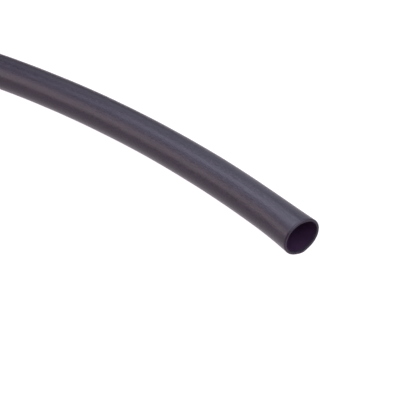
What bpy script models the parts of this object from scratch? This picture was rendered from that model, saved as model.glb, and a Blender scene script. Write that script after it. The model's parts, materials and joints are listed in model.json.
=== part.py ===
# A length of black heat shrink tube, lying on the floor in a gentle bend.
# The floor is z = 0. The tube bends round a point on the -Y side, its two cut ends face +X and -X,
# and the origin is under the middle of its bounding box.

import math

import bmesh
import bpy
from mathutils import Matrix, Vector

# Driving dimensions, in metres
BORE = 0.0127
WALL = 0.0010
LENGTH = 0.3048
BEND_RADIUS = 0.460
MOUTH_SPREAD = 0.0008
MOUTH_LENGTH = 0.020

# Facets round the tube and along it
SIDES = 32
STEPS = 48

# Black polyolefin with a satin skin
SKIN_COLOUR = (0.045, 0.040, 0.052, 1.0)
SKIN_ROUGHNESS = 0.45
SHARP_ANGLE = math.radians(40)

# Worked out from the dimensions above
BORE_RADIUS = BORE / 2
OUTER_RADIUS = BORE_RADIUS + WALL
TURN = LENGTH / BEND_RADIUS


def clear_scene():
    for obj in list(bpy.data.objects):
        bpy.data.objects.remove(obj)


def black_polyolefin():
    material = bpy.data.materials.new("black_polyolefin")
    material.use_nodes = True
    shader = material.node_tree.nodes["Principled BSDF"]
    shader.inputs["Base Color"].default_value = SKIN_COLOUR
    shader.inputs["Roughness"].default_value = SKIN_ROUGHNESS
    shader.inputs["Metallic"].default_value = 0.0
    return material


def bend_centre():
    """The point that the tube bends round, which puts the middle of the bounding box over the origin."""
    outermost = BEND_RADIUS + OUTER_RADIUS
    innermost = (BEND_RADIUS - OUTER_RADIUS - MOUTH_SPREAD) * math.cos(TURN / 2)
    return Vector((0, -(outermost + innermost) / 2, 0))


def wall_section(bm):
    """The cut wall as a flat ring of faces, standing upright on the floor across the line x = 0."""
    upright = Matrix.Translation((0, BEND_RADIUS, OUTER_RADIUS)) @ Matrix.Rotation(math.pi / 2, 4, "Y")
    for radius in (BORE_RADIUS, OUTER_RADIUS):
        bmesh.ops.create_circle(bm, cap_ends=False, segments=SIDES, radius=radius, matrix=upright)
    return bmesh.ops.bridge_loops(bm, edges=bm.edges[:])["faces"]


def sweep_round_bend(bm, section):
    """Turns the section back to the +X end, then spins it round the bend to the -X end."""
    bmesh.ops.rotate(bm, verts=bm.verts[:], cent=(0, 0, 0), matrix=Matrix.Rotation(-TURN / 2, 3, "Z"))
    bmesh.ops.spin(bm, geom=section, cent=(0, 0, 0), axis=(0, 0, 1), angle=TURN, steps=STEPS)
    bmesh.ops.recalc_face_normals(bm, faces=bm.faces[:])


def spread_mouths(bm):
    """Widens both cut ends sideways into a slight oval. The height and the wall's thickness stay as they are."""
    for vert in bm.verts:
        round_bend = math.atan2(abs(vert.co.x), vert.co.y)
        from_cut = LENGTH / 2 - round_bend * BEND_RADIUS
        fade = max(0.0, 1 - from_cut / MOUTH_LENGTH) ** 2
        outward = Vector((vert.co.x, vert.co.y, 0)).normalized()
        sideways = vert.co.xy.length - BEND_RADIUS
        upward = vert.co.z - OUTER_RADIUS
        vert.co += outward * MOUTH_SPREAD * fade * sideways / math.hypot(sideways, upward)


def heat_shrink_tube():
    bm = bmesh.new()
    section = wall_section(bm)
    sweep_round_bend(bm, section)
    spread_mouths(bm)
    bmesh.ops.translate(bm, verts=bm.verts[:], vec=bend_centre())
    mesh = bpy.data.meshes.new("heat_shrink_tube")
    bm.to_mesh(mesh)
    bm.free()
    mesh.shade_smooth()
    mesh.set_sharp_from_angle(angle=SHARP_ANGLE)
    mesh.materials.append(black_polyolefin())
    tube = bpy.data.objects.new("heat_shrink_tube", mesh)
    bpy.context.scene.collection.objects.link(tube)
    return tube


clear_scene()
heat_shrink_tube()
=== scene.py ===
# The looks of a cut length of black heat shrink tube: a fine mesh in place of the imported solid, its three
# surfaces, a white table, soft studio light and the photograph's camera. Lengths are in metres.

import json
import math

import bpy
import numpy as np
from mathutils import Matrix, Vector


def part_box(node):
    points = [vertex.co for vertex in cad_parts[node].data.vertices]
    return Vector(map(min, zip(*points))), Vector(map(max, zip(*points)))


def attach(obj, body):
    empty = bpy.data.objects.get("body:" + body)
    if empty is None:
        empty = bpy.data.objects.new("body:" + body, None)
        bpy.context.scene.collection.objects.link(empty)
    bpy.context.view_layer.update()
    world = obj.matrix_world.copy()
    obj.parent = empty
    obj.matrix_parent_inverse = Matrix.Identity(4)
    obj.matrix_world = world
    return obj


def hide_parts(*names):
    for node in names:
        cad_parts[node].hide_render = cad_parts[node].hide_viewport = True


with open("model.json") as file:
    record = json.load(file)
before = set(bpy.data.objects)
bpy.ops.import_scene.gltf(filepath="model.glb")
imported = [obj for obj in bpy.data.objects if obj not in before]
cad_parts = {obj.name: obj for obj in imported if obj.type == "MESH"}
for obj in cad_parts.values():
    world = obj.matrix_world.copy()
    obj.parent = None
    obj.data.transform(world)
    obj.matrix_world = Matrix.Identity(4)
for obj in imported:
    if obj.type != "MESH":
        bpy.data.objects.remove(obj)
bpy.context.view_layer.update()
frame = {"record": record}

NODE = "heat_shrink_tube"

# Fineness of the mesh. A higher crowding brings the mouth's stations closer to the cut.
SIDES = 160
MIDDLE_STATIONS = 150
MOUTH_STATIONS = 34
MOUTH_CROWDING = 1.6
ROUNDING_STEPS = 6
CUT_FACE_STEPS = 4

# How far from a cut the mouth spreads, as in the solid
MOUTH_LENGTH = 0.020

# The cut edge: roundings of its two rims, how far it wanders off a plane, and how far its wall is dished.
# Places round the tube count from its outer side over its top.
SHARP_ROUNDING = 0.00012
WORN_ROUNDING = 0.00072
WORN_PLACE = math.radians(145)
BORE_ROUNDING = 0.00008
CUT_WANDER = 0.00010
NEAR_WANDER_START = 0.4
FAR_WANDER_START = 1.9
CUT_DIP = 0.00005

# The nib that the blade left at the bottom of the near cut
NIB_PLACE = math.radians(274)
NIB_WIDTH = math.radians(14)
NIB_LENGTH = 0.00030
NIB_REACH = 0.0030

# Gentle waves that drawing and coiling leave in the skin, each with its height, its length along the tube,
# its lobes round the tube and its phase
SKIN_WAVES = (
    (0.000016, 0.061, 2, 0.6),
    (0.000010, 0.037, -3, 2.0),
    (0.000006, 0.017, 5, 4.1),
)

# The photograph's camera, with its lens and sensor in millimetres and its picture in pixels.
# Azimuth 0 looks along +Y and 90 along -X.
VIEW_AZIMUTH = math.radians(34.8)
VIEW_ELEVATION = math.radians(36.7)
FOCAL_LENGTH = 110.7
SENSOR_WIDTH = 36.0
CAMERA_TO_MOUTH = 0.4447
NEAREST_SEEN = 0.01
FARTHEST_SEEN = 50
PICTURE_SIZE = 400
MOUTH_IN_PICTURE = (302.1, 237.1)

# Studio light. A softbox's bearing is 0 at the camera's right and 90 behind the tube, in degrees.
COOL = (0.77, 0.89, 1.0)
NEUTRAL = (1.0, 0.99, 0.97)
SOFTBOX_DISTANCE = 0.45
SOFTBOXES = {
    # name: (bearing, elevation, diameter, watts, colour)
    "right_low": (68, 20, 0.22, 0.16, COOL),
    "right_top": (84, 63, 0.11, 0.39, COOL),
    "back_low": (95, 42, 0.33, 0.36, COOL),
    "back_top": (140, 64, 0.20, 0.73, COOL),
    "back_left": (155, 52, 0.14, 0.12, COOL),
    "left_high": (185, 50, 0.12, 0.40, COOL),
    "left_middle": (178, 30, 0.10, 0.15, NEUTRAL),
    "left_low": (183, 15, 0.20, 0.41, NEUTRAL),
    "left_front": (213, 14, 0.20, 0.30, NEUTRAL),
    "overhead": (320, 84, 0.30, 0.40, COOL),
    "mouth_fill": (290, 36, 0.30, 1.05, COOL),
    "front_top": (318, 48, 0.32, 1.30, COOL),
    "front_right": (355, 36, 0.30, 0.90, COOL),
}
ROOM_LIGHT = 0.18

# The white table, which glows so that it comes out as white as the photograph's background
TABLE_SIZE = 12
TABLE_GLOW = (1.07, 1.00, 1.07)
TABLE_COLOUR = (0.06, 0.06, 0.06)
TABLE_ROUGHNESS = 0.6

# The stretch of a noise's values over which a colour or roughness goes from its first value to its second
NOISE_LOW = 0.30
NOISE_HIGH = 0.70


class TubeShape:
    """The bent tube, read from the mount on its near end and from its box. The mount lies under the bore,
    halfway through the wall, and the box ends at the outer sides of the two cuts."""

    def __init__(self):
        near_end = next(m for m in frame["record"]["mounts"] if m["name"] == "near_end")
        end, facing = Vector(near_end["pos_m"]), Vector(near_end["axis"])
        low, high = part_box(NODE)
        self.half_turn = math.atan2(-facing.y, facing.x)
        self.bend_radius = end.x / math.sin(self.half_turn)
        self.bend_centre_y = end.y - self.bend_radius * math.cos(self.half_turn)
        self.outer_radius = (high.z - low.z) / 2
        self.wall = 2 * end.z
        self.bore_radius = self.outer_radius - self.wall
        self.length = 2 * self.half_turn * self.bend_radius
        self.spread = high.x / math.sin(self.half_turn) - self.bend_radius - self.outer_radius

    def place(self, along, sideways, upward):
        """Points on the bent tube, from the distance to the near cut and the place in the section."""
        turn = self.half_turn - along / self.bend_radius
        reach = self.bend_radius + sideways
        x = reach * np.sin(turn)
        y = reach * np.cos(turn) + self.bend_centre_y
        return np.stack(np.broadcast_arrays(x, y, self.outer_radius + upward), axis=-1)

    def mouth_centre(self):
        return Vector(self.place(0.0, 0.0, 0.0))


tube = TubeShape()


def stations():
    """Distances from the near cut, close together in the mouths and clear of the rims' roundings."""
    mouth = MOUTH_LENGTH * np.linspace(0, 1, MOUTH_STATIONS) ** MOUTH_CROWDING
    middle = np.linspace(MOUTH_LENGTH, tube.length - MOUTH_LENGTH, MIDDLE_STATIONS)
    everywhere = np.concatenate([mouth, middle[1:-1], tube.length - mouth[::-1]])
    return everywhere[(everywhere > WORN_ROUNDING) & (everywhere < tube.length - WORN_ROUNDING)]


def outer_rounding(around):
    """The outer rim's rounding: sharp where the blade went in, and rolled over where it came out."""
    worn = 0.5 + 0.5 * np.cos(around - WORN_PLACE)
    return SHARP_ROUNDING + (WORN_ROUNDING - SHARP_ROUNDING) * worn


def cut_edge(around):
    """The rings of one cut, from the skin to the bore, as (distance into the tube, radius, surface)."""
    quarter = np.linspace(0, math.pi / 2, ROUNDING_STEPS + 1)
    level = np.zeros(SIDES)
    rounding = outer_rounding(around)
    rings = []
    for t in quarter:
        rings.append((rounding * (1 - math.sin(t)), tube.outer_radius - rounding * (1 - math.cos(t)), "skin"))
    face_start = tube.outer_radius - rounding
    face_end = tube.bore_radius + BORE_ROUNDING
    for share in np.linspace(0, 1, CUT_FACE_STEPS + 2)[1:-1]:
        dip = CUT_DIP * math.sin(math.pi * share)
        rings.append((level + dip, face_start + (face_end - face_start) * share, "cut"))
    for t in quarter[::-1]:
        bore_ring = tube.bore_radius + BORE_ROUNDING * (1 - math.cos(t))
        rings.append((level + BORE_ROUNDING * (1 - math.sin(t)), level + bore_ring, "cut"))
    return rings


def closed_run(around):
    """One closed run of rings: the skin from the near cut to the far one, the far cut, back through the bore,
    and the near cut. Gives each ring's distance from the near cut, its radius and its surface."""
    level = np.zeros(SIDES)
    skin = [(level + s, level + tube.outer_radius, "skin") for s in stations()]
    far_cut = [(tube.length - depth, radius, surface) for depth, radius, surface in cut_edge(around)]
    bore = [(level + s, level + tube.bore_radius, "bore") for s in stations()[::-1]]
    near_cut = cut_edge(around)[::-1]
    run = skin + far_cut + bore + near_cut
    return np.array([r[0] for r in run]), np.array([r[1] for r in run]), [r[2] for r in run]


def fade(distance, reach):
    """1 at a cut, falling smoothly to 0 at the given distance from it."""
    return np.clip(1 - distance / reach, 0, 1) ** 2


def cut_wander(around, start):
    """How far the cut stands out of or into its plane, in two and in three waves round the tube."""
    return CUT_WANDER * (0.6 * np.cos(2 * around + start) + 0.4 * np.sin(3 * around + 2.1 * start))


def skin_waves(along, around):
    """How far the wall lies inside its true radius. The highest waves just reach it."""
    highest = sum(wave[0] for wave in SKIN_WAVES)
    waves = sum(h * np.sin(2 * math.pi * along / length + lobes * around + phase)
                for h, length, lobes, phase in SKIN_WAVES)
    return highest - waves


def nib(along, around):
    """How far the near cut stands out of its plane at the nib."""
    off_centre = np.angle(np.exp(1j * (around - NIB_PLACE)))
    return NIB_LENGTH * np.exp(-(off_centre / NIB_WIDTH) ** 2) * fade(along, NIB_REACH)


def tube_mesh():
    """The tube's mesh and the surface of each ring. Every point keeps its place on the unbent tube."""
    around = np.arange(SIDES) * 2 * math.pi / SIDES
    along, radius, kinds = closed_run(around)
    near, far = fade(along, MOUTH_LENGTH), fade(tube.length - along, MOUTH_LENGTH)
    near_wander = near * cut_wander(around, NEAR_WANDER_START)
    far_wander = far * cut_wander(around, FAR_WANDER_START)
    shifted = along + near_wander - far_wander - nib(along, around)
    reach = radius - skin_waves(along, around)
    sideways = (reach + tube.spread * (near + far)) * np.cos(around)
    points = tube.place(shifted, sideways, reach * np.sin(around)).reshape(-1, 3)

    ring, side = np.arange(len(kinds))[:, None], np.arange(SIDES)[None]
    next_ring, next_side = (ring + 1) % len(kinds), (side + 1) % SIDES
    corners = [ring * SIDES + side, next_ring * SIDES + side,
               next_ring * SIDES + next_side, ring * SIDES + next_side]
    faces = np.stack(corners, axis=-1).reshape(-1, 4)
    mesh = bpy.data.meshes.new(NODE + "_skin")
    mesh.from_pydata(points.tolist(), [], faces.tolist())

    unbent = np.stack([radius * np.cos(around), radius * np.sin(around), along], axis=-1)
    attribute = mesh.attributes.new("unbent", "FLOAT_VECTOR", "POINT")
    attribute.data.foreach_set("vector", unbent.astype(np.float32).ravel())
    return mesh, kinds


def tube_piece(surfaces):
    """The tube as one object. The faces between two rings of different surfaces belong to the cut."""
    mesh, kinds = tube_mesh()
    names = list(surfaces)
    for name in names:
        mesh.materials.append(surfaces[name])
    slots = []
    for here, after in zip(kinds, kinds[1:] + kinds[:1]):
        slots.append(names.index(here if here == after else "cut"))
    mesh.polygons.foreach_set("material_index", np.repeat(slots, SIDES).astype(np.int32))
    mesh.shade_smooth()
    mesh.update()
    piece = bpy.data.objects.new("tube", mesh)
    bpy.context.scene.collection.objects.link(piece)
    return piece


class Surface:
    """A Principled material with layers of noise, laid out along the unbent tube."""

    def __init__(self, name, specular, tint):
        self.material = bpy.data.materials.new(name)
        self.material.use_nodes = True
        self.nodes = self.material.node_tree.nodes
        self.links = self.material.node_tree.links
        self.shader = self.nodes["Principled BSDF"]
        self.shader.inputs["Specular IOR Level"].default_value = specular
        self.shader.inputs["Specular Tint"].default_value = (*tint, 1)
        self.place = self.nodes.new("ShaderNodeAttribute")
        self.place.attribute_name = "unbent"
        self.normal = None

    def noise(self, across, along, detail=2.0, turned=0.0):
        """Noise whose blots are that wide in the section and that long along the tube."""
        mapping = self.nodes.new("ShaderNodeMapping")
        mapping.inputs["Rotation"].default_value = (0, 0, turned)
        mapping.inputs["Scale"].default_value = (1 / across[0], 1 / across[1], 1 / along)
        noise = self.nodes.new("ShaderNodeTexNoise")
        noise.inputs["Scale"].default_value = 1.0
        noise.inputs["Detail"].default_value = detail
        self.links.new(self.place.outputs["Vector"], mapping.inputs["Vector"])
        self.links.new(mapping.outputs["Vector"], noise.inputs["Vector"])
        return noise.outputs["Fac"]

    def colour(self, blots, dark, light):
        ramp = self.nodes.new("ShaderNodeValToRGB")
        ramp.color_ramp.elements[0].position = NOISE_LOW
        ramp.color_ramp.elements[0].color = (*dark, 1)
        ramp.color_ramp.elements[1].position = NOISE_HIGH
        ramp.color_ramp.elements[1].color = (*light, 1)
        self.links.new(blots, ramp.inputs["Fac"])
        self.links.new(ramp.outputs["Color"], self.shader.inputs["Base Color"])

    def roughness(self, blots, smooth, rough):
        spread = self.nodes.new("ShaderNodeMapRange")
        spread.inputs["From Min"].default_value = NOISE_LOW
        spread.inputs["From Max"].default_value = NOISE_HIGH
        spread.inputs["To Min"].default_value = smooth
        spread.inputs["To Max"].default_value = rough
        self.links.new(blots, spread.inputs["Value"])
        self.links.new(spread.outputs["Result"], self.shader.inputs["Roughness"])

    def relief(self, blots, depth):
        """Bumps of that depth, on top of those already there."""
        bump = self.nodes.new("ShaderNodeBump")
        bump.inputs["Distance"].default_value = depth
        self.links.new(blots, bump.inputs["Height"])
        if self.normal:
            self.links.new(self.normal, bump.inputs["Normal"])
        self.normal = bump.outputs["Normal"]
        self.links.new(self.normal, self.shader.inputs["Normal"])


def skin_surface():
    """The satin outside: faint lengthwise lines from the die, a fine grain and slow unevenness."""
    skin = Surface("satin_skin", specular=0.35, tint=(1.0, 0.85, 1.0))
    mottle = skin.noise(across=(0.0006, 0.0006), along=0.0008, detail=3)
    die_lines = skin.noise(across=(0.00045, 0.00045), along=0.030)
    grain = skin.noise(across=(0.00014, 0.00014), along=0.00016)
    unevenness = skin.noise(across=(0.0028, 0.0028), along=0.009)
    skin.colour(mottle, dark=(0.0050, 0.0026, 0.0053), light=(0.0190, 0.0100, 0.0198))
    skin.roughness(mottle, smooth=0.29, rough=0.38)
    skin.relief(unevenness, depth=0.000030)
    skin.relief(mottle, depth=0.00007)
    skin.relief(die_lines, depth=0.000012)
    skin.relief(grain, depth=0.000005)
    return skin.material


def cut_surface():
    """The cut wall: duller, with the fine lines that the blade dragged across it."""
    cut = Surface("cut_edge", specular=0.20, tint=(1.0, 0.85, 1.0))
    drag_lines = cut.noise(across=(0.00007, 0.0025), along=0.0025, turned=math.radians(28))
    tears = cut.noise(across=(0.0005, 0.0005), along=0.0005, detail=3)
    cut.colour(tears, dark=(0.0150, 0.0105, 0.0165), light=(0.0280, 0.0200, 0.0300))
    cut.roughness(tears, smooth=0.42, rough=0.58)
    cut.relief(tears, depth=0.000060)
    cut.relief(drag_lines, depth=0.000008)
    return cut.material


def bore_surface():
    """The matt inside, with the faint lengthwise lines of the mandrel. Its colour is painted light: lighter
    than the skin's, it stands in for the light that reaches into the bore.
    """
    bore = Surface("bore_wall", specular=0.25, tint=(1.0, 0.80, 1.0))
    clouds = bore.noise(across=(0.005, 0.005), along=0.018, detail=3)
    mandrel_lines = bore.noise(across=(0.00060, 0.00060), along=0.040)
    # Painted light: the bore's colour is set lighter than the skin's to stand in for the light that reaches
    # into the bore. The clouds only vary it at random.
    bore.colour(clouds, dark=(0.0200, 0.0070, 0.0215), light=(0.0245, 0.0085, 0.0260))
    bore.roughness(clouds, smooth=0.52, rough=0.62)
    bore.relief(mandrel_lines, depth=0.000015)
    return bore.material


def table():
    """The plain white table top, at the floor."""
    bpy.ops.mesh.primitive_plane_add(size=TABLE_SIZE)
    top = bpy.context.object
    top.name = "table"
    material = bpy.data.materials.new("white_table")
    material.use_nodes = True
    shader = material.node_tree.nodes["Principled BSDF"]
    shader.inputs["Base Color"].default_value = (*TABLE_COLOUR, 1)
    shader.inputs["Roughness"].default_value = TABLE_ROUGHNESS
    shader.inputs["Specular IOR Level"].default_value = 0
    shader.inputs["Emission Color"].default_value = (*TABLE_GLOW, 1)
    shader.inputs["Emission Strength"].default_value = 1
    top.data.materials.append(material)


def camera():
    """The photograph's camera, set so that the near mouth's middle falls on MOUTH_IN_PICTURE."""
    data = bpy.data.cameras.new("camera")
    data.lens = FOCAL_LENGTH
    data.sensor_width = SENSOR_WIDTH
    data.clip_start = NEAREST_SEEN
    data.clip_end = FARTHEST_SEEN
    view = bpy.data.objects.new("camera", data)
    bpy.context.scene.collection.objects.link(view)
    bpy.context.scene.camera = view
    level = math.cos(VIEW_ELEVATION)
    back = Vector((math.sin(VIEW_AZIMUTH) * level, -math.cos(VIEW_AZIMUTH) * level, math.sin(VIEW_ELEVATION)))
    right = Vector((math.cos(VIEW_AZIMUTH), math.sin(VIEW_AZIMUTH), 0))
    up = back.cross(right)
    per_pixel = SENSOR_WIDTH / FOCAL_LENGTH / PICTURE_SIZE
    across = (MOUTH_IN_PICTURE[0] - PICTURE_SIZE / 2) * per_pixel
    above = (PICTURE_SIZE / 2 - MOUTH_IN_PICTURE[1]) * per_pixel
    ray = (right * across + up * above - back).normalized()
    turned = Matrix((right, up, back)).transposed().to_4x4()
    view.matrix_world = Matrix.Translation(tube.mouth_centre() - ray * CAMERA_TO_MOUTH) @ turned


def softbox(name, bearing, elevation, diameter, watts, colour):
    """A round softbox, unseen itself, that faces the tube halfway from its near end to its middle."""
    data = bpy.data.lights.new(name, "AREA")
    data.shape = "DISK"
    data.size = diameter
    data.energy = watts
    data.color = colour
    lamp = bpy.data.objects.new(name, data)
    bpy.context.scene.collection.objects.link(lamp)
    turn, rise = math.radians(bearing) + VIEW_AZIMUTH, math.radians(elevation)
    away = Vector((math.cos(turn) * math.cos(rise), math.sin(turn) * math.cos(rise), math.sin(rise)))
    lamp.location = Vector((tube.length / 4, 0, tube.outer_radius)) + away * SOFTBOX_DISTANCE
    lamp.rotation_euler = away.to_track_quat("Z", "Y").to_euler()
    lamp.visible_camera = False


def studio_light():
    """The softboxes, a weak light from all round, and a white backdrop that only the camera sees."""
    for name, settings in SOFTBOXES.items():
        softbox(name, *settings)
    world = bpy.data.worlds.new("studio")
    bpy.context.scene.world = world
    world.use_nodes = True
    nodes, links = world.node_tree.nodes, world.node_tree.links
    backdrop, room = nodes["Background"], nodes.new("ShaderNodeBackground")
    room.inputs["Strength"].default_value = ROOM_LIGHT
    for shade in (backdrop, room):
        shade.inputs["Color"].default_value = (1, 1, 1, 1)
    seen, choice = nodes.new("ShaderNodeLightPath"), nodes.new("ShaderNodeMixShader")
    links.new(seen.outputs["Is Camera Ray"], choice.inputs["Fac"])
    links.new(room.outputs["Background"], choice.inputs[1])
    links.new(backdrop.outputs["Background"], choice.inputs[2])
    links.new(choice.outputs["Shader"], nodes["World Output"].inputs["Surface"])


piece = tube_piece({"skin": skin_surface(), "cut": cut_surface(), "bore": bore_surface()})
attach(piece, "root")
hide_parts(NODE)
table()
camera()
studio_light()
bpy.context.scene.view_settings.view_transform = "Standard"
